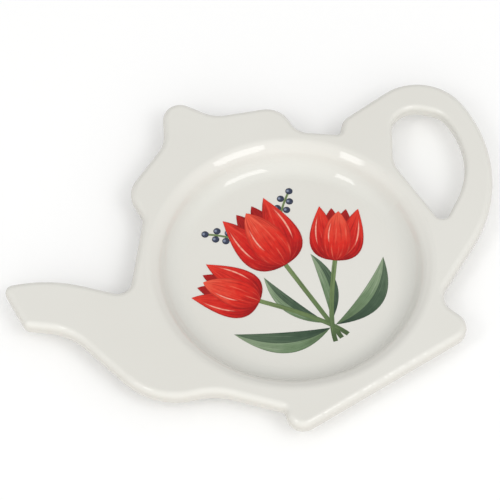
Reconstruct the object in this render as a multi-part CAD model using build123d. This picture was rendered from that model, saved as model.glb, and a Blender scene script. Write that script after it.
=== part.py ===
"""Tea bag rest: a glazed china dish in the outline of a teapot, with a tulip print in its well.

Millimetres. +X runs from the spout to the handle, +Y from the pot's base to its lid, +Z is up.
The dish is drawn about the axis of its round well, then moved so that the middle of its box is
over the origin. It stands on its foot ring at z = 0.
"""

import os
from math import cos, radians, sin, tan

from build123d import *

# The well, turned about its axis
WELL_RADIUS = 43.9
WELL_DEPTH = 7.6
WELL_SLOPE = 58.0
FLOOR_FILLET = 7.4

# The soft shoulder between the rim and the wall: a sloping band with rounded edges
SHOULDER_DROP = 1.7
SHOULDER_SLOPE = 29.0
SHOULDER_ROUND = 4.0

# Thicknesses of the ware
RIM_THICKNESS = 5.1
WALL_THICKNESS = 3.2
FLOOR_THICKNESS = 3.4
GLAZE_THICKNESS = 0.2
FILM_THICKNESS = 0.08

# The foot ring under the well
FOOT_RADIUS = 30.0
FOOT_WIDTH = 3.2
FOOT_HEIGHT = 1.8
FOOT_ROUND = 0.5
BARE_HEIGHT = 0.6

# Rounding of the rim's edges, and of the corner under it
EDGE_OVER = 2.2
EDGE_UNDER = 1.3
HOLE_EDGE_OVER = 1.6
CORNER_UNDER = 0.9

# The flat strips of rim between the well's mouth and the outline
JOIN_STRIP = 0.15
SHOULDER_STRIP = 2.9
BELLY_STRIP = 4.7
BASE_STRIP = 6.1
HOLE_STRIP = 1.9

# The slopes of the pot's sides, in degrees from level
LEFT_SLOPE = 48.5
RIGHT_SLOPE = 38.0
BELLY_SLOPE = 49.4

# The pot's base
BASE_WIDTH = 72.4
NECK_WIDTH = 62.4
BASE_LIFT = 1.1
BASE_ROUND = 5.5
NECK_ROUND = 1.5

# The lid and its knob
LID_SEAT_LEFT = 30.8
LID_SEAT_RIGHT = 29.9
LID_TOP_WIDTH = 60.3
LID_EDGE = 11.9
LID_RISE = 8.7
LID_ROUND = 8.6
LID_SEAT_ROUND = 6.4
KNOB_WIDTH = 19.7
KNOB_POINT = 16.9
KNOB_ROUND = 5.7
KNOB_FOOT_ROUND = 11.0

# The spout, measured out from the well's mouth
SPOUT_LENGTH = 36.8
SPOUT_ROOT = 3.4
SPOUT_MOUTH_LOW = 27.0
SPOUT_MOUTH_HIGH = 43.8
SPOUT_MOUTH_LEAN = 1.3
SPOUT_MOUTH_ROUND = 2.5
SPOUT_LIP_ROUND = 2.5
SPOUT_ROOT_ROUND = 4.5
SPOUT_BACK_OUT = 21.3
SPOUT_BACK_UP = 38.4
SPOUT_BACK_ROUND = 50.0
THROAT_OUT = 26.0
THROAT_UP = 18.0
THROAT_ROUND = 19.5
SPOUT_BELLY_OUT = 17.7
SPOUT_BELLY_DOWN = 19.2
SPOUT_BELLY_ROUND = 23.2
UNDERSPOUT_IN = 0.7
UNDERSPOUT_ROUND = 21.5

# The handle, and the hole through it
HANDLE_LENGTH = 34.9
HANDLE_ROOT = 6.2
HANDLE_ROOT_ROUND = 1.5
HANDLE_STEP = 4.1
HANDLE_STEP_ROUND = 4.8
HANDLE_CROWN = 2.1
HANDLE_TOP_ROUND = 18.6
HANDLE_BACK_UP = 5.7
HANDLE_BACK_ROUND = 50.1
HANDLE_HEEL_IN = 13.6
HANDLE_HEEL_DOWN = 19.9
HANDLE_HEEL_ROUND = 49.1
HANDLE_NECK_LIFT = 5.3
HANDLE_NECK_ROUND = 6.5
HANDLE_BAR = 8.4
HANDLE_TOP_BAR = 10.9
HOLE_FOOT_DOWN = 16.2
HOLE_FOOT_ROUND = 2.5
HOLE_HEEL_DOWN = 1.9
HOLE_HEEL_ROUND = 31.8
HOLE_TOP_ROUND = 8.1
HOLE_TOP_IN = 6.9
HOLE_TOP_DOWN = 7.4
HOLE_NOSE = 9.7
HOLE_NOSE_ROUND = 7.7
HOLE_SIDE_UP = 12.2
HOLE_SIDE_ROUND = 12.3

# The print, drawn this far out from the well's axis and scaled to leave a margin on the flat floor
PRINT_REACH = 34.0
PRINT_MARGIN = 0.9
# Tulips as (x, y of the bloom's foot, lean in degrees, width, height)
TULIPS = [(0, 3, 0, 20, 25), (-14.4, -3.5, 36, 16.5, 21), (14.2, -4.5, -38, 16, 20)]
GATHER = (0, -21)
STEM_SPREAD = 2.4
STEM_END = 29.0
STEM_WIDTH = 1.5
# Leaves as (x, y of the foot, x, y of the bend, x, y of the tip, width)
LEAVES = [
    (-1, -24, -17, -25, -28, -9, 7.5),
    (1, -24, 18, -27, 28, -12, 7.5),
    (-1, -22, -10, -11, -8.5, 3, 5),
    (1, -22, 10, -12, 9, 2, 5),
]
# Berry sprigs as (x, y of the foot, x, y of the tip), with berries in pairs along them
SPRIGS = [(-6, 13, -15.5, 27), (6, 12, 16.5, 25.5)]
SPRIG_WIDTH = 0.7
BERRY_RADIUS = 1.2
BERRY_PAIRS = 2
SMALLEST_SPOT = 0.3

# Heights and radii that follow from the sizes above
FLOOR_LEVEL = FOOT_HEIGHT + FLOOR_THICKNESS
RIM_LEVEL = FLOOR_LEVEL + WELL_DEPTH
LIP_RADIUS = WELL_RADIUS + SHOULDER_DROP * (1 / tan(radians(SHOULDER_SLOPE)) - 1 / tan(radians(WELL_SLOPE)))
MOUTH_RADIUS = LIP_RADIUS + SHOULDER_ROUND * tan(radians(SHOULDER_SLOPE / 2))
JOIN_RADIUS = MOUTH_RADIUS + JOIN_STRIP


def rounded(corners):
    """Face inside a closed outline of (x, y, radius) corners, each radius held to its two sides."""
    points = [Vector(x, y) for x, y, _ in corners]
    count = len(points)
    radii = [radius for _, _, radius in corners]
    reach = []
    for i in range(count):
        turn = (points[i] - points[i - 1]).get_angle(points[(i + 1) % count] - points[i])
        reach.append(radii[i] * tan(radians(turn / 2)))
    for i in range(count):
        for j in (i - 1, (i + 1) % count):
            room = 0.98 * (points[j] - points[i]).length / (reach[i] + reach[j] + 1e-9)
            radii[i] = min(radii[i], corners[i][2] * room)
    return make_face(FilletPolyline(*points, radius=radii, close=True))


def on_side(distance, normal, x):
    """Point at x on the straight side that lies at a distance from the well's axis."""
    return x, (distance - x * cos(radians(normal))) / sin(radians(normal))


def pot_outline():
    """The teapot's outline, counter-clockwise from the left end of its base."""
    shoulder = MOUTH_RADIUS + SHOULDER_STRIP
    left = 90 + LEFT_SLOPE
    right = 90 - RIGHT_SLOPE
    under = 270 - BELLY_SLOPE
    belly = MOUTH_RADIUS + BELLY_STRIP
    base = -MOUTH_RADIUS - BASE_STRIP
    neck_left = on_side(belly, under, -NECK_WIDTH / 2)
    underspout = on_side(belly, under, -MOUTH_RADIUS + UNDERSPOUT_IN)
    seat_left = on_side(shoulder, left, -LID_SEAT_LEFT)
    seat_right = on_side(shoulder, right, LID_SEAT_RIGHT)
    lid_edge = seat_right[1] + LID_EDGE
    knob_foot = lid_edge + LID_RISE
    root = on_side(shoulder, left, -MOUTH_RADIUS - SPOUT_ROOT)
    valley = on_side(shoulder, right, MOUTH_RADIUS - HANDLE_ROOT)
    end = MOUTH_RADIUS + HANDLE_LENGTH
    tip = -MOUTH_RADIUS - SPOUT_LENGTH
    return [
        (-BASE_WIDTH / 2, base + BASE_LIFT, BASE_ROUND),
        (BASE_WIDTH / 2, base, BASE_ROUND),
        (NECK_WIDTH / 2, neck_left[1] + HANDLE_NECK_LIFT, HANDLE_NECK_ROUND),
        (end - HANDLE_HEEL_IN, -HANDLE_HEEL_DOWN, HANDLE_HEEL_ROUND),
        (end, HANDLE_BACK_UP, HANDLE_BACK_ROUND),
        (end, valley[1] + HANDLE_STEP + HANDLE_CROWN, HANDLE_TOP_ROUND),
        (valley[0] + HANDLE_STEP, valley[1] + HANDLE_STEP, HANDLE_STEP_ROUND),
        (*valley, HANDLE_ROOT_ROUND),
        (*seat_right, LID_SEAT_ROUND),
        (LID_TOP_WIDTH / 2, lid_edge, LID_ROUND),
        (KNOB_WIDTH / 2, knob_foot, KNOB_FOOT_ROUND),
        (0, knob_foot + KNOB_POINT, KNOB_ROUND),
        (-KNOB_WIDTH / 2, knob_foot, KNOB_FOOT_ROUND),
        (-LID_TOP_WIDTH / 2, lid_edge, LID_ROUND),
        (*seat_left, LID_SEAT_ROUND),
        (*root, SPOUT_ROOT_ROUND),
        (-MOUTH_RADIUS - SPOUT_BACK_OUT, SPOUT_BACK_UP, SPOUT_BACK_ROUND),
        (tip + SPOUT_MOUTH_LEAN, SPOUT_MOUTH_HIGH, SPOUT_LIP_ROUND),
        (tip, SPOUT_MOUTH_LOW, SPOUT_MOUTH_ROUND),
        (-MOUTH_RADIUS - THROAT_OUT, THROAT_UP, THROAT_ROUND),
        (-MOUTH_RADIUS - SPOUT_BELLY_OUT, -SPOUT_BELLY_DOWN, SPOUT_BELLY_ROUND),
        (*underspout, UNDERSPOUT_ROUND),
        (*neck_left, NECK_ROUND),
    ]


def hole_outline():
    """The finger hole in the handle, counter-clockwise from its lower corner."""
    valley = on_side(MOUTH_RADIUS + SHOULDER_STRIP, 90 - RIGHT_SLOPE, MOUTH_RADIUS - HANDLE_ROOT)
    near = MOUTH_RADIUS + HOLE_STRIP
    far = MOUTH_RADIUS + HANDLE_LENGTH - HANDLE_BAR
    top = valley[1] + HANDLE_STEP + HANDLE_CROWN - HANDLE_TOP_BAR
    return [
        (near, -HOLE_FOOT_DOWN, HOLE_FOOT_ROUND),
        (far, -HOLE_HEEL_DOWN, HOLE_HEEL_ROUND),
        (far, top - HOLE_TOP_DOWN, HOLE_TOP_ROUND),
        (far - HOLE_TOP_IN, top, HOLE_TOP_ROUND),
        (near + HOLE_NOSE, top, HOLE_NOSE_ROUND),
        (near, HOLE_SIDE_UP, HOLE_SIDE_ROUND),
    ]


def rim_plate(skin):
    """The flat rim with its rounded edges, a skin's depth below the glazed surface."""
    face = offset(rounded(pot_outline()), -skin) - offset(rounded(hole_outline()), skin)
    plate = extrude(Pos(0, 0, RIM_LEVEL - RIM_THICKNESS + skin) * face, RIM_THICKNESS - 2 * skin)
    plate = fillet(plate.faces().sort_by(Axis.Z)[-1].outer_wire().edges(), EDGE_OVER - skin)
    plate = fillet(plate.faces().sort_by(Axis.Z)[-1].inner_wires()[0].edges(), HOLE_EDGE_OVER - skin)
    plate = fillet(plate.edges().group_by(Axis.Z)[0], EDGE_UNDER - skin)
    return plate - extrude(Circle(JOIN_RADIUS), RIM_LEVEL)


def well_at(level, depth):
    """Radius of the wall's face at a level, a depth below the glazed face inside the well."""
    slope = radians(WELL_SLOPE)
    return WELL_RADIUS + depth / sin(slope) - (RIM_LEVEL - level) / tan(slope)


def lip_at(level, depth):
    """Radius of the shoulder's sloping face at a level, a depth below the glazed face."""
    slope = radians(SHOULDER_SLOPE)
    return LIP_RADIUS + depth / sin(slope) - (RIM_LEVEL - level) / tan(slope)


def wall_top(depth):
    """Level at which the shoulder's face meets the wall's face, both at one depth."""
    steepness = 1 / tan(radians(SHOULDER_SLOPE)) - 1 / tan(radians(WELL_SLOPE))
    return RIM_LEVEL - (lip_at(RIM_LEVEL, depth) - well_at(RIM_LEVEL, depth)) / steepness


def turned_well(skin):
    """The turned middle: floor, wall, shoulder and foot ring, a skin below the glazed surface."""
    top = RIM_LEVEL - skin
    under = RIM_LEVEL - RIM_THICKNESS + skin
    floor = FLOOR_LEVEL - skin
    below = FOOT_HEIGHT + skin
    foot_out = FOOT_RADIUS + FOOT_WIDTH / 2 - skin
    foot_in = FOOT_RADIUS - FOOT_WIDTH / 2 + skin
    outer = WALL_THICKNESS - skin
    profile = [
        (0, floor, 0),
        (0, below, 0),
        (foot_in, below, FOOT_ROUND + skin),
        (foot_in, 0, FOOT_ROUND),
        (foot_out, 0, FOOT_ROUND),
        (foot_out, below, FOOT_ROUND + skin),
        (well_at(below, outer), below, FLOOR_FILLET + outer),
        (well_at(under, outer), under, CORNER_UNDER + skin),
        (JOIN_RADIUS, under, 0),
        (JOIN_RADIUS, top, 0),
        (lip_at(top, skin), top, SHOULDER_ROUND - skin),
        (well_at(wall_top(skin), skin), wall_top(skin), SHOULDER_ROUND - skin),
        (well_at(floor, skin), floor, FLOOR_FILLET + skin),
    ]
    return revolve(Plane.XZ * rounded(profile), Axis.Z)


def ware(skin):
    """The whole dish, a skin's depth below the glazed surface."""
    return rim_plate(skin) + turned_well(skin)


def petal(tip, left, right):
    """Petal from the bloom's foot to a tip, with two bending points on each edge."""
    foot = (0, 0)
    return make_face([Bezier(foot, *left, tip), Bezier(tip, *right, foot)])


def bloom(width, height):
    """A tulip's front petal, side petals, back petals and glints, upright on its foot."""

    def at(x, y):
        return x * width, y * height

    front = petal(at(0, 0.93), [at(-0.46, 0.08), at(-0.34, 0.7)], [at(0.34, 0.7), at(0.46, 0.08)])
    side = petal(at(-0.4, 1), [at(-0.76, 0), at(-0.56, 0.6)], [at(-0.16, 0.8), at(0.06, 0.45)])
    back = petal(at(-0.15, 0.98), [at(-0.5, 0.3), at(-0.3, 0.8)], [at(0.1, 0.8), at(0.1, 0.3)])
    streak = make_face([
        Bezier(at(-0.13, 0.3), at(-0.24, 0.45), at(-0.12, 0.75)),
        Bezier(at(-0.12, 0.75), at(-0.17, 0.5), at(-0.13, 0.3)),
    ])
    gleam = make_face([
        Bezier(at(-0.36, 0.25), at(-0.52, 0.5), at(-0.41, 0.85)),
        Bezier(at(-0.41, 0.85), at(-0.44, 0.5), at(-0.36, 0.25)),
    ])
    flipped = [mirror(shape, Plane.YZ) for shape in (side, back, gleam)]
    return front, side + flipped[0], back + flipped[1], streak + gleam + flipped[2]


def strip(start, bend, end, width):
    """Bent strip of one width from a start to an end."""
    return trace(Bezier(start, bend, end), width)


def half_leaf(start, bend, end, width):
    """One half of a leaf, between its middle vein and its edge on the left, or right if negative."""
    along = (Vector(*end) - Vector(*start)).normalized()
    edge = Vector(*bend) + Vector(-along.Y, along.X) * width
    return make_face([Bezier(start, bend, end), Bezier(end, edge, start)])


def printed_colours():
    """The faces of each printed colour, from the front of the picture to its back."""
    fronts = Sketch()
    sides = Sketch()
    backs = Sketch()
    glints = Sketch()
    stems = Sketch()
    for x, y, lean, width, height in TULIPS:
        place = Pos(x, y) * Rot(0, 0, lean)
        front, side, back, glint = bloom(width, height)
        fronts += place * front
        sides += place * side
        backs += place * back
        glints += place * glint
        cut = (-STEM_SPREAD * x / abs(x) if x else 0, -STEM_END)
        stems += strip(cut, GATHER, (x, y), STEM_WIDTH)
    berries = Sketch()
    for x0, y0, x1, y1 in SPRIGS:
        sprig = Bezier((x0, y0), (x0, (y0 + y1) / 2), (x1, y1))
        stems += trace(sprig, SPRIG_WIDTH)
        berries += Pos(sprig @ 1) * Circle(BERRY_RADIUS)
        for pair in range(BERRY_PAIRS):
            here = 1 - (pair + 1) * 3 * BERRY_RADIUS / sprig.length
            across = (sprig % here).rotate(Axis.Z, 90) * (BERRY_RADIUS + SPRIG_WIDTH / 2)
            berries += Pos(sprig @ here + across) * Circle(BERRY_RADIUS)
            berries += Pos(sprig @ here - across) * Circle(BERRY_RADIUS)
    lights = Sketch()
    darks = Sketch()
    for x0, y0, x1, y1, x2, y2, width in LEAVES:
        lights += half_leaf((x0, y0), (x1, y1), (x2, y2), width)
        darks += half_leaf((x0, y0), (x1, y1), (x2, y2), -width)
    return {
        "print_glints": glints,
        "print_petal_fronts": fronts,
        "print_petal_sides": sides,
        "print_petal_backs": backs,
        "print_berries": berries,
        "print_stems": stems,
        "print_leaf_lights": lights,
        "print_leaf_darks": darks,
    }


outside = ware(0)
china = ware(GLAZE_THICKNESS)
glaze = outside - extrude(Circle(FOOT_RADIUS + FOOT_WIDTH), BARE_HEIGHT) - china
recess, coat = glaze.solids().sort_by(SortBy.VOLUME)

middle = outside.bounding_box().center()
home = Pos(-middle.X, -middle.Y, 0)

os.makedirs("parts", exist_ok=True)
export_step(home * china, "parts/china_body.step")
export_step(home * coat, "parts/glaze_coat.step")
export_step(home * recess, "parts/glaze_recess.step")

flat_radius = well_at(FLOOR_LEVEL, 0) - FLOOR_FILLET * tan(radians(WELL_SLOPE / 2))
print_scale = (flat_radius - PRINT_MARGIN) / PRINT_REACH
covered = Sketch()
for name, colour in printed_colours().items():
    shown = Sketch() + [face for face in (colour - covered).faces() if face.area > SMALLEST_SPOT]
    film = extrude(Pos(0, 0, FLOOR_LEVEL) * scale(shown, print_scale), FILM_THICKNESS)
    export_step(home * film, f"parts/{name}.step")
    covered += colour
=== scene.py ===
"""Tea bag rest: looks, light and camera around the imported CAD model. Metres, in the CAD frame."""

import math

import bmesh
import bpy
from mathutils import Matrix, Vector


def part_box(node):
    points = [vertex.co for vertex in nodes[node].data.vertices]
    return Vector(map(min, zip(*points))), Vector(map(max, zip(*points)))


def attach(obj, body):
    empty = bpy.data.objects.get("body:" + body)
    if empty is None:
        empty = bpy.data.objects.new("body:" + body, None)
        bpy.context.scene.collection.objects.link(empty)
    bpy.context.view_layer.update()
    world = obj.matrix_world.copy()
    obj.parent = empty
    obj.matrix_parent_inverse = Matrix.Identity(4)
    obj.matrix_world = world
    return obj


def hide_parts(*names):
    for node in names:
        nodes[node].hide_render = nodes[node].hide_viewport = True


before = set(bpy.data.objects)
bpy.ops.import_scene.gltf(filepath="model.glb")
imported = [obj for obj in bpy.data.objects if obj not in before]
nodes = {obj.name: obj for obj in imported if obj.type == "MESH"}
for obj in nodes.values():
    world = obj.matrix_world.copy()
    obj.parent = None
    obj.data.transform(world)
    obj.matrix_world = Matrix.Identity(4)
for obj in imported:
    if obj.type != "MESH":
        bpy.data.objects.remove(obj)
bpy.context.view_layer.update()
scene = bpy.context.scene
MM = 0.001

# Places read from the CAD: the axis of the well, its floor and the rim
recess_low, recess_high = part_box("glaze_recess")
AXIS = (recess_low + recess_high) / 2
FLOOR_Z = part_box("print_petal_fronts")[0].z
RIM_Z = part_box("glaze_coat")[1].z

# Where the glaze changes, out from the axis: it pools in the floor's corner, and past the mouth is the rim
POOL_START = (33 * MM, 38 * MM)
POOL_END = (43 * MM, 40 * MM)
RIM_START = (46.8 * MM, 47.6 * MM)
# How far below the rim's top its edges turn warm from thin glaze and darker from painted shade, and where
# they start to ripple
THIN_AND_SHADE_DROP = (0.2 * MM, 1.9 * MM)
RIPPLE_DROP = 0.15 * MM
# An oval from the axis that holds the hole in the handle and keeps clear of the outer edge
HOLE_MIDDLE = (54.9 * MM, 8.4 * MM, 0)
HOLE_REACH = (20.5 * MM, 23.5 * MM, 1)


class Graph:
    """A material with a Principled shader, and short ways to add nodes to it."""

    def __init__(self, name):
        self.mat = bpy.data.materials.new(name)
        self.mat.use_nodes = True
        self.tree = self.mat.node_tree
        self.bsdf = self.tree.nodes["Principled BSDF"]

    def put(self, socket, value):
        """Link a node's output to a socket, or set the socket to a plain value."""
        if hasattr(value, "is_output"):
            self.tree.links.new(value, socket)
        elif isinstance(value, tuple) and len(value) == 3 and socket.type == "RGBA":
            socket.default_value = (*value, 1)
        else:
            socket.default_value = value

    def outputs(self, kind, inputs, **settings):
        """All the outputs of a new node."""
        node = self.tree.nodes.new(kind)
        for key, value in settings.items():
            setattr(node, key, value)
        for key, value in inputs.items():
            self.put(node.inputs[key], value)
        return node.outputs

    def add(self, kind, inputs, out=0, **settings):
        """One output of a new node."""
        return self.outputs(kind, inputs, **settings)[out]

    def coords(self, kind):
        return self.add("ShaderNodeTexCoord", {}, out=kind)

    def parts(self, vector):
        """The x, y and z of a vector."""
        return self.outputs("ShaderNodeSeparateXYZ", {0: vector})

    def vector(self, operation, a, b=(0, 0, 0)):
        """Vector from two vectors, or the number that a length or a distance gives."""
        out = "Value" if operation in ("LENGTH", "DISTANCE") else "Vector"
        return self.add("ShaderNodeVectorMath", {0: a, 1: b}, out=out, operation=operation)

    def math(self, operation, a, b=0.0):
        return self.add("ShaderNodeMath", {0: a, 1: b}, operation=operation)

    def times(self, product, *factors):
        for factor in factors:
            product = self.math("MULTIPLY", product, factor)
        return product

    def off_middle(self, value):
        """How far a value lies from a half."""
        return self.math("ABSOLUTE", self.math("SUBTRACT", value, 0.5))

    def span(self, value, low, high, to_low=0.0, to_high=1.0):
        """Smooth step from one level to another as a value goes from low to high."""
        inputs = {"Value": value, "From Min": low, "From Max": high, "To Min": to_low, "To Max": to_high}
        return self.add("ShaderNodeMapRange", inputs, interpolation_type="SMOOTHSTEP")

    def mix(self, amount, a, b):
        return self.add("ShaderNodeMix", {0: amount, 6: a, 7: b}, out=2, data_type="RGBA")

    def noise(self, vector, scale, detail=2.0, roughness=0.5):
        """Cloudy noise from 0 to 1, whose scale is per metre on object coordinates."""
        inputs = {"Vector": vector, "Scale": scale, "Detail": detail, "Roughness": roughness}
        return self.add("ShaderNodeTexNoise", inputs)

    def bump(self, height, distance, strength=1.0, over=None):
        """Normal for a height of so many metres, laid over another normal where one is given."""
        inputs = {"Height": height, "Distance": distance, "Strength": strength}
        if over is not None:
            inputs["Normal"] = over
        return self.add("ShaderNodeBump", inputs)

    def ramp(self, value, stops):
        """Colour between stops of (place, colour)."""
        node = self.tree.nodes.new("ShaderNodeValToRGB")
        while len(node.color_ramp.elements) < len(stops):
            node.color_ramp.elements.new(0.5)
        for element, (place, colour) in zip(node.color_ramp.elements, stops):
            element.position = place
            element.color = (*colour, 1)
        self.put(node.inputs[0], value)
        return node.outputs[0]

    def shader(self, **values):
        """Set the shader's own inputs, named with _ for each space."""
        for key, value in values.items():
            self.put(self.bsdf.inputs[key.replace("_", " ")], value)


def dress(node, mat):
    """Give a CAD node one material."""
    nodes[node].data.materials.clear()
    nodes[node].data.materials.append(mat)


def glaze_material():
    """Warm white gloss glaze: drifting tone, thin warm edges with painted shade, pooled corners, specks and
    soft waves.
    """
    g = Graph("warm_white_glaze")
    place = g.coords("Object")
    height = g.parts(place)[2]
    flat = g.vector("MULTIPLY", g.vector("SUBTRACT", place, (AXIS.x, AXIS.y, 0)), (1, 1, 0))
    radius = g.vector("LENGTH", flat)
    on_rim = g.span(radius, *RIM_START)

    tone = g.ramp(g.noise(place, 14, 3), [(0.3, (0.735, 0.722, 0.668)), (0.7, (0.762, 0.752, 0.702))])
    # Painted shade: the rim's edges turn darker down their sides, partly warm thin glaze and partly painted
    # shade, with less of it round the hole in the handle
    thin_and_shade = g.span(height, RIM_Z - THIN_AND_SHADE_DROP[0], RIM_Z - THIN_AND_SHADE_DROP[1])
    from_hole = g.vector("DIVIDE", g.vector("SUBTRACT", flat, HOLE_MIDDLE), HOLE_REACH)
    off_hole = g.span(g.vector("LENGTH", from_hole), 1.02, 1.15, 0.3, 0.9)
    tone = g.mix(g.times(on_rim, thin_and_shade, off_hole), tone, (0.645, 0.622, 0.568))
    pool = g.times(g.span(radius, *POOL_START), g.span(radius, *POOL_END), 0.35)
    tone = g.mix(pool, tone, (0.70, 0.705, 0.655))
    cells = g.outputs("ShaderNodeTexVoronoi", {"Vector": place, "Scale": 160})
    picked = g.span(g.add("ShaderNodeSeparateColor", {0: cells["Color"]}), 0.987, 0.99)
    speck = g.times(picked, g.span(cells["Distance"], 0.05, 0.028), 0.55)
    tone = g.mix(speck, tone, (0.16, 0.13, 0.11))

    rippled = g.times(on_rim, g.span(height, RIM_Z, RIM_Z - RIPPLE_DROP, 0.15, 1))
    waves = g.bump(g.noise(place, 42, 1), 0.22 * MM)
    ripples = g.bump(g.noise(place, 170, 2), 0.25 * MM, rippled, waves)
    peel = g.bump(g.noise(place, 620, 2), 0.0025 * MM, 1.0, ripples)
    rough = g.span(g.noise(place, 60, 3), 0.3, 0.7, 0.015, 0.04)
    g.shader(Base_Color=tone, Roughness=rough, Normal=peel, IOR=1.52)
    return g.mat


def bisque_material():
    """Bare fired clay on the standing face: matt cream with fine grain and a little grime."""
    g = Graph("bare_bisque")
    place = g.coords("Object")
    grain = g.noise(place, 2200, 3, 0.7)
    stain = g.noise(place, 90, 4)
    tone = g.ramp(grain, [(0.3, (0.60, 0.53, 0.43)), (0.7, (0.74, 0.68, 0.58))])
    tone = g.mix(g.span(stain, 0.55, 0.75, 0, 0.4), tone, (0.42, 0.36, 0.30))
    rough = g.span(grain, 0.3, 0.7, 0.75, 0.9)
    g.shader(Base_Color=tone, Roughness=rough, Normal=g.bump(grain, 0.04 * MM))
    return g.mat


def floor_material():
    """Pale matt ground with a faint glow of its own, which keeps it near white."""
    g = Graph("pale_floor")
    g.shader(Base_Color=(0.94, 0.94, 0.935), Roughness=0.7, Emission_Color=(1, 1, 1), Emission_Strength=0.07)
    return g.mat


glaze = glaze_material()
dress("glaze_coat", glaze)
dress("glaze_recess", glaze)
dress("china_body", bisque_material())

# The tulip print, in millimetres about the well's axis with +Y to the lid, as on the CAD films
# Tulips as (x, y of the bloom's foot, lean in degrees, width, height)
TULIPS = [(0, 3, 0, 20, 25), (-14.4, -3.5, 36, 16.5, 21), (14.2, -4.5, -38, 16, 20)]
GATHER = (0, -21)
STEM_SPREAD = 2.4
STEM_END = 29.0
STEM_WIDTH = 1.5
# Leaves as (x, y of the foot, x, y of the bend, x, y of the tip, width)
LEAVES = [
    (-1, -24, -17, -25, -28, -9, 7.5),
    (1, -24, 18, -27, 28, -12, 7.5),
    (-1, -22, -10, -11, -8.5, 3, 5),
    (1, -22, 10, -12, 9, 2, 5),
]
# Berry sprigs as (x, y of the foot, x, y of the tip), with berries in pairs along them
SPRIGS = [(-6, 13, -15.5, 27), (6, 12, 16.5, 25.5)]
SPRIG_WIDTH = 0.7
BERRY_RADIUS = 1.2
BERRY_PAIRS = 2
BERRY_STEP = 3 * BERRY_RADIUS
# The print's scale, from the tips of the two wide leaves on the CAD film
LEAF_SPAN = LEAVES[1][4] - LEAVES[0][4]
leaf_low, leaf_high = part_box("print_leaf_darks")
PRINT_SCALE = (leaf_high.x - leaf_low.x) / (LEAF_SPAN * MM)
# Each colour lies a step higher than the one behind it, and each patch of one colour a little higher
FILM = 0.02 * MM
STEP = 0.02 * MM
PATCH_STEP = 0.0025 * MM
LAYERS = [
    "leaf_darks", "leaf_lights", "stems", "berries",
    "petal_backs", "petal_sides", "petal_fronts", "glints",
]
# What a film stays clear of the glaze by, and how close two points are to count as one
FILM_GAP = 0.004 * MM
WELD = 0.0001 * MM
SAME_POINT = 1e-6

# Petals and strokes as two edges from foot to tip, in parts of the bloom's width and height
FRONT = [(0, 0), (-0.46, 0.08), (-0.34, 0.7), (0, 0.93)], [(0, 0), (0.46, 0.08), (0.34, 0.7), (0, 0.93)]
SIDE = [(0, 0), (-0.76, 0), (-0.56, 0.6), (-0.4, 1)], [(0, 0), (0.06, 0.45), (-0.16, 0.8), (-0.4, 1)]
BACK = [(0, 0), (-0.5, 0.3), (-0.3, 0.8), (-0.15, 0.98)], [(0, 0), (0.1, 0.3), (0.1, 0.8), (-0.15, 0.98)]
STREAK = [(-0.13, 0.3), (-0.24, 0.45), (-0.12, 0.75)], [(-0.13, 0.3), (-0.17, 0.5), (-0.12, 0.75)]
GLEAM = [(-0.36, 0.25), (-0.52, 0.5), (-0.41, 0.85)], [(-0.36, 0.25), (-0.44, 0.5), (-0.41, 0.85)]

# Brushed colours as (foot, middle, tip, dark streaks, light streaks, spread of the streaks, gloss)
PETAL_SPREAD, LEAF_SPREAD, STALK_SPREAD = 11.0, 7.0, 2.0
PETAL_GLOSS, GREEN_GLOSS = 0.3, 0.5
BRUSHED = {
    "petal_fronts": (
        (0.40, 0.006, 0.006), (0.70, 0.022, 0.012), (0.80, 0.095, 0.050),
        (0.30, 0.004, 0.005), (0.86, 0.22, 0.13), PETAL_SPREAD, PETAL_GLOSS),
    "petal_sides": (
        (0.28, 0.003, 0.005), (0.60, 0.011, 0.008), (0.74, 0.040, 0.022),
        (0.18, 0.002, 0.004), (0.74, 0.12, 0.070), PETAL_SPREAD, PETAL_GLOSS),
    "petal_backs": (
        (0.10, 0.002, 0.003), (0.24, 0.004, 0.005), (0.40, 0.010, 0.009),
        (0.07, 0.001, 0.003), (0.46, 0.025, 0.018), PETAL_SPREAD, PETAL_GLOSS),
    "leaf_lights": (
        (0.09, 0.15, 0.065), (0.16, 0.245, 0.13), (0.27, 0.35, 0.22),
        (0.055, 0.10, 0.05), (0.40, 0.48, 0.34), LEAF_SPREAD, GREEN_GLOSS),
    "leaf_darks": (
        (0.025, 0.055, 0.030), (0.05, 0.095, 0.052), (0.10, 0.155, 0.09),
        (0.015, 0.035, 0.020), (0.15, 0.21, 0.13), LEAF_SPREAD, GREEN_GLOSS),
    "stems": (
        (0.06, 0.105, 0.035), (0.12, 0.19, 0.07), (0.17, 0.24, 0.09),
        (0.045, 0.08, 0.03), (0.28, 0.36, 0.17), STALK_SPREAD, GREEN_GLOSS),
}


def bezier(points, t):
    """Point at t on the curve that a list of points bends."""
    points = [Vector(p) for p in points]
    while len(points) > 1:
        points = [a.lerp(b, t) for a, b in zip(points, points[1:])]
    return points[0]


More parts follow.
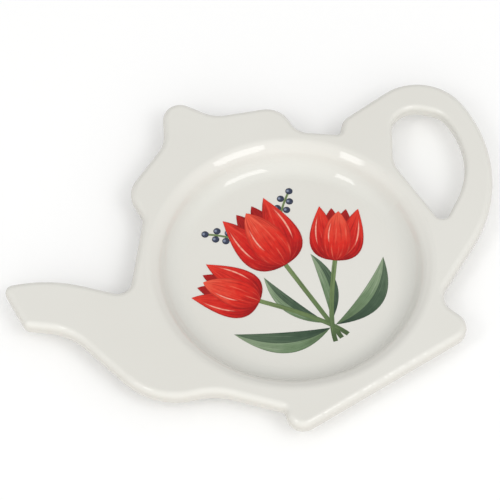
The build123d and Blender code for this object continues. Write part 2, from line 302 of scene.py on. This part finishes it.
class Film:
    """One printed colour: patches with u across and v along, made into a thin closed piece."""

    def __init__(self, layer):
        self.layer = layer
        self.lift = 0.0
        self.bm = bmesh.new()
        self.uv = self.bm.loops.layers.uv.new("UVMap")
        self.top = FLOOR_Z + FILM + STEP * LAYERS.index(layer)

    def face(self, corners):
        """One face from ((x, y), (u, v)) corners in the print's millimetres."""
        verts = []
        for point, _ in corners:
            spot = Vector(point) * (PRINT_SCALE * MM)
            verts.append(self.bm.verts.new((AXIS.x + spot.x, AXIS.y + spot.y, self.top + self.lift)))
        face = self.bm.faces.new(verts)
        for loop, (_, uv) in zip(face.loops, corners):
            loop[self.uv].uv = uv
        face.normal_update()
        if face.normal.z < 0:
            face.normal_flip()

    def patch(self, left, right, rows=20, columns=8):
        """Grid between two edges, each a function of v that gives a point."""
        self.lift += PATCH_STEP
        grid = []
        for i in range(rows + 1):
            v = i / rows
            a, b = Vector(left(v)), Vector(right(v))
            grid.append([(a.lerp(b, j / columns), (j / columns, v)) for j in range(columns + 1)])
        for low, high in zip(grid, grid[1:]):
            for j in range(columns):
                corners = [low[j], low[j + 1], high[j + 1], high[j]]
                kept = [c for k, c in enumerate(corners) if (c[0] - corners[k - 1][0]).length > SAME_POINT]
                if len(kept) > 2:
                    self.face(kept)

    def disc(self, centre, radius, rings=4, sides=24):
        """Round spot, whose u and v run from 0 to 1 across it."""

        def at(ring, side):
            angle = 2 * math.pi * side / sides
            uv = Vector((math.cos(angle), math.sin(angle))) * (ring / rings)
            return Vector(centre) + uv * radius, tuple(uv * 0.5 + Vector((0.5, 0.5)))

        for ring in range(rings):
            for side in range(sides):
                corners = [at(ring, side), at(ring + 1, side), at(ring + 1, side + 1), at(ring, side + 1)]
                if ring == 0:
                    corners.pop()
                self.face(corners)

    def finish(self, mat):
        """Weld the patches into one piece with a thickness, in the place of the CAD film."""
        bmesh.ops.remove_doubles(self.bm, verts=self.bm.verts, dist=WELD)
        mesh = bpy.data.meshes.new("painted_" + self.layer)
        self.bm.to_mesh(mesh)
        self.bm.free()
        piece = bpy.data.objects.new("painted_" + self.layer, mesh)
        scene.collection.objects.link(piece)
        mesh.materials.append(mat)
        shell = piece.modifiers.new("film", "SOLIDIFY")
        shell.thickness = self.top - FLOOR_Z - FILM_GAP
        shell.offset = -1
        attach(piece, "root")
        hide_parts("print_" + self.layer)


def painted(name, foot, middle, tip, dark, light, spread, gloss):
    """Enamel brushed from the foot to the tip: a wash of tones, streaks along it and a darker edge."""
    g = Graph("enamel_" + name)
    uv = g.coords("UV")
    place = g.coords("Object")
    across, along, _ = g.parts(uv)
    wide = g.vector("MULTIPLY", uv, (spread, 0.9, 1))
    brushed = g.vector("ADD", wide, g.vector("MULTIPLY", place, (60, 60, 0)))
    streak = g.noise(brushed, 1.0, 3)
    hair = g.noise(brushed, 3.1, 2)
    cloud = g.noise(place, 340, 4, 0.6)
    level = g.math("ADD", along, g.times(g.math("SUBTRACT", cloud, 0.5), 0.55))
    tone = g.ramp(level, [(0.05, foot), (0.45, middle), (0.95, tip)])
    tone = g.mix(g.span(streak, 0.50, 0.72, 0, 0.6), tone, dark)
    tone = g.mix(g.span(streak, 0.46, 0.28, 0, 0.55), tone, light)
    tone = g.mix(g.span(hair, 0.56, 0.70, 0, 0.35), tone, dark)
    edge = g.times(g.off_middle(across), 2.0)
    tone = g.mix(g.span(edge, 0.82, 1.0, 0, 0.55), tone, dark)
    rough = g.span(cloud, 0.3, 0.7, 0.10, 0.20)
    bump = g.bump(streak, 0.006 * MM)
    g.shader(Base_Color=tone, Roughness=rough, Normal=bump, Specular_IOR_Level=gloss)
    return g.mat


def berry_enamel():
    """Navy spots with a soft light side, a dark rim and a fine bloom."""
    g = Graph("enamel_berries")
    uv = g.coords("UV")
    bloom = g.noise(g.coords("Object"), 1500, 3)
    rim = g.vector("DISTANCE", uv, (0.5, 0.5, 0))
    lit = g.vector("DISTANCE", uv, (0.36, 0.66, 0))
    tone = g.ramp(bloom, [(0.3, (0.018, 0.026, 0.055)), (0.7, (0.042, 0.055, 0.10))])
    tone = g.mix(g.span(lit, 0.30, 0.04, 0, 0.75), tone, (0.33, 0.38, 0.50))
    tone = g.mix(g.span(rim, 0.36, 0.5, 0, 0.7), tone, (0.008, 0.010, 0.018))
    rough = g.span(bloom, 0.3, 0.7, 0.12, 0.22)
    g.shader(Base_Color=tone, Roughness=rough, Normal=g.bump(bloom, 0.004 * MM))
    return g.mat


def glint_enamel():
    """Pale strokes that fade into the petal's red at their ends and edges."""
    g = Graph("enamel_glints")
    across, along, _ = g.parts(g.coords("UV"))
    broken = g.noise(g.coords("Object"), 900, 3)
    body = g.times(g.span(g.off_middle(across), 0.5, 0.15), g.span(g.off_middle(along), 0.5, 0.2))
    amount = g.times(body, g.span(broken, 0.25, 0.6, 0.45, 1.0))
    tone = g.mix(amount, (0.60, 0.035, 0.022), (0.90, 0.40, 0.30))
    rough = g.span(broken, 0.3, 0.7, 0.10, 0.20)
    g.shader(Base_Color=tone, Roughness=rough, Normal=g.bump(broken, 0.004 * MM))
    return g.mat


def edge_of(points):
    """An edge for a patch, as a function of v."""
    return lambda v: bezier(points, v)


def strip(film, points, width, rows=28):
    """Bent strip of one width along a curve."""
    reach = 0.01

    def side(sign):
        def at(v):
            ahead = bezier(points, min(v + reach, 1)) - bezier(points, max(v - reach, 0))
            return bezier(points, v) + Vector((-ahead.y, ahead.x)).normalized() * (sign * width / 2)

        return at

    film.patch(side(1), side(-1), rows, 4)


def paint_tulips(films):
    """Petals and glints of each bloom, and its stem."""
    for x, y, lean, width, height in TULIPS:
        turn = Matrix.Rotation(math.radians(lean), 2)

        def spot(point, flip):
            return turn @ Vector((point[0] * width * flip, point[1] * height)) + Vector((x, y))

        def petal(layer, shape, flips):
            for flip in flips:
                left, right = ([spot(p, flip) for p in edge] for edge in shape)
                films[layer].patch(edge_of(left), edge_of(right))

        petal("petal_backs", BACK, (1, -1))
        petal("petal_sides", SIDE, (1, -1))
        petal("petal_fronts", FRONT, (1,))
        petal("glints", STREAK, (1,))
        petal("glints", GLEAM, (1, -1))
        cut = (math.copysign(STEM_SPREAD, -x) if x else 0, -STEM_END)
        strip(films["stems"], [cut, GATHER, (x, y)], STEM_WIDTH)


def paint_leaves(films):
    """Each leaf as a light and a dark half along its middle vein."""
    for x0, y0, x1, y1, x2, y2, width in LEAVES:
        foot, bend, tip = Vector((x0, y0)), Vector((x1, y1)), Vector((x2, y2))
        along = (tip - foot).normalized()
        out = Vector((-along.y, along.x)) * width
        for layer, sign in (("leaf_lights", 1), ("leaf_darks", -1)):
            films[layer].patch(edge_of([foot, bend, tip]), edge_of([foot, bend + out * sign, tip]))


def paint_sprigs(films):
    """Sprigs with a berry at the tip and pairs of berries back along the stalk."""
    steps = 200
    for x0, y0, x1, y1 in SPRIGS:
        curve = [(x0, y0), (x0, (y0 + y1) / 2), (x1, y1)]
        strip(films["stems"], curve, SPRIG_WIDTH)
        points = [bezier(curve, i / steps) for i in range(steps + 1)]
        films["berries"].disc(points[-1], BERRY_RADIUS)
        from_tip = 0.0
        pair = 1
        for a, b in zip(points[::-1], points[-2::-1]):
            from_tip += (a - b).length
            if pair <= BERRY_PAIRS and from_tip >= pair * BERRY_STEP:
                aside = Vector((b.y - a.y, a.x - b.x)).normalized() * (BERRY_RADIUS + SPRIG_WIDTH / 2)
                films["berries"].disc(b + aside, BERRY_RADIUS)
                films["berries"].disc(b - aside, BERRY_RADIUS)
                pair += 1


films = {layer: Film(layer) for layer in LAYERS}
paint_tulips(films)
paint_leaves(films)
paint_sprigs(films)
enamels = {layer: painted(layer, *look) for layer, look in BRUSHED.items()}
enamels["berries"] = berry_enamel()
enamels["glints"] = glint_enamel()
for layer, film in films.items():
    film.finish(enamels[layer])

# The floor
FLOOR_SIDE = 6
bpy.ops.mesh.primitive_plane_add(size=FLOOR_SIDE)
floor = bpy.context.object
floor.name = "floor"
floor.data.materials.append(floor_material())

# The camera, at the photograph's angle
AZIMUTH = math.radians(-33.67)
ELEVATION = math.radians(60)
LOOK_AT = Vector((-7.445, 1.990, 10.8)) * MM
DISTANCE = 0.809
back = Vector((
    math.sin(AZIMUTH) * math.cos(ELEVATION),
    -math.cos(AZIMUTH) * math.cos(ELEVATION),
    math.sin(ELEVATION),
))
right = Vector((math.cos(AZIMUTH), math.sin(AZIMUTH), 0))
front = Vector((back.x, back.y, 0)).normalized()
up = Vector((0, 0, 1))
lens = bpy.data.cameras.new("camera")
lens.lens = 180
lens.sensor_width = 36
lens.clip_start = 0.01
camera = bpy.data.objects.new("camera", lens)
scene.collection.objects.link(camera)
camera.location = LOOK_AT + back * DISTANCE
camera.rotation_mode = "QUATERNION"
camera.rotation_quaternion = (-back).to_track_quat("-Z", "Y")
scene.camera = camera
scene.view_settings.view_transform = "Standard"


def softbox(name, toward, aside, roll, distance, size, radiance):
    """Rectangular light, tilted from straight above toward the camera and aside, then rolled, in degrees."""
    way = up + front * math.tan(math.radians(toward)) + right * math.tan(math.radians(aside))
    z_axis = way.normalized()
    level = (right - z_axis * right.dot(z_axis)).normalized()
    x_axis = Matrix.Rotation(math.radians(roll), 3, z_axis) @ level
    y_axis = z_axis.cross(x_axis)
    light = bpy.data.lights.new(name, "AREA")
    light.shape = "RECTANGLE"
    light.size, light.size_y = size
    light.energy = radiance * math.pi * size[0] * size[1]
    lamp = bpy.data.objects.new(name, light)
    scene.collection.objects.link(lamp)
    lamp.location = LOOK_AT + z_axis * distance
    lamp.rotation_mode = "QUATERNION"
    lamp.rotation_quaternion = Matrix((x_axis, y_axis, z_axis)).transposed().to_quaternion()


LIGHT_DISTANCE = 1.1
softbox("softbox_wide", 25.0, 25.7, 22, LIGHT_DISTANCE, (0.385, 0.38), 3.2)
softbox("softbox_small", 27.0, -29.5, -22, LIGHT_DISTANCE, (0.205, 0.38), 3.5)

# The surround's level where nothing is added to it or taken from it
EVEN = 0.535


def studio_world():
    """White surround, dimmer behind and overhead, with a glow in front and a fill behind on the right."""
    world = bpy.data.worlds.new("studio")
    scene.world = world
    world.use_nodes = True
    tree = world.node_tree
    background = tree.nodes["Background"].inputs
    sky = tree.nodes.new("ShaderNodeTexCoord").outputs["Generated"]

    def along(direction, reach, levels, smooth):
        """Strength that goes from one level to another over a reach along a direction of the sky."""
        dot = tree.nodes.new("ShaderNodeVectorMath")
        dot.operation = "DOT_PRODUCT"
        dot.inputs[1].default_value = direction
        level = tree.nodes.new("ShaderNodeMapRange")
        level.interpolation_type = "SMOOTHSTEP" if smooth else "LINEAR"
        for key, value in zip(("From Min", "From Max", "To Min", "To Max"), reach + levels):
            level.inputs[key].default_value = value
        tree.links.new(sky, dot.inputs[0])
        tree.links.new(dot.outputs["Value"], level.inputs["Value"])
        return level.outputs[0]

    def plus(a, b):
        total = tree.nodes.new("ShaderNodeMath")
        total.operation = "ADD"
        tree.links.new(a, total.inputs[0])
        tree.links.new(b, total.inputs[1])
        return total.outputs[0]

    drift = along(front * 0.11 - right * 0.04 - up * 0.10, (-1, 1), (EVEN - 1, EVEN + 1), False)
    glow = along(front * 0.66 + up * 0.75, (0.35, 1), (0, 0.81), True)
    fill = along(right * 0.66 - front * 0.62 + up * 0.42, (0.3, 1), (0, 0.28), True)
    tree.links.new(plus(plus(drift, glow), fill), background["Strength"])
    background["Color"].default_value = (1, 1, 1, 1)


studio_world()
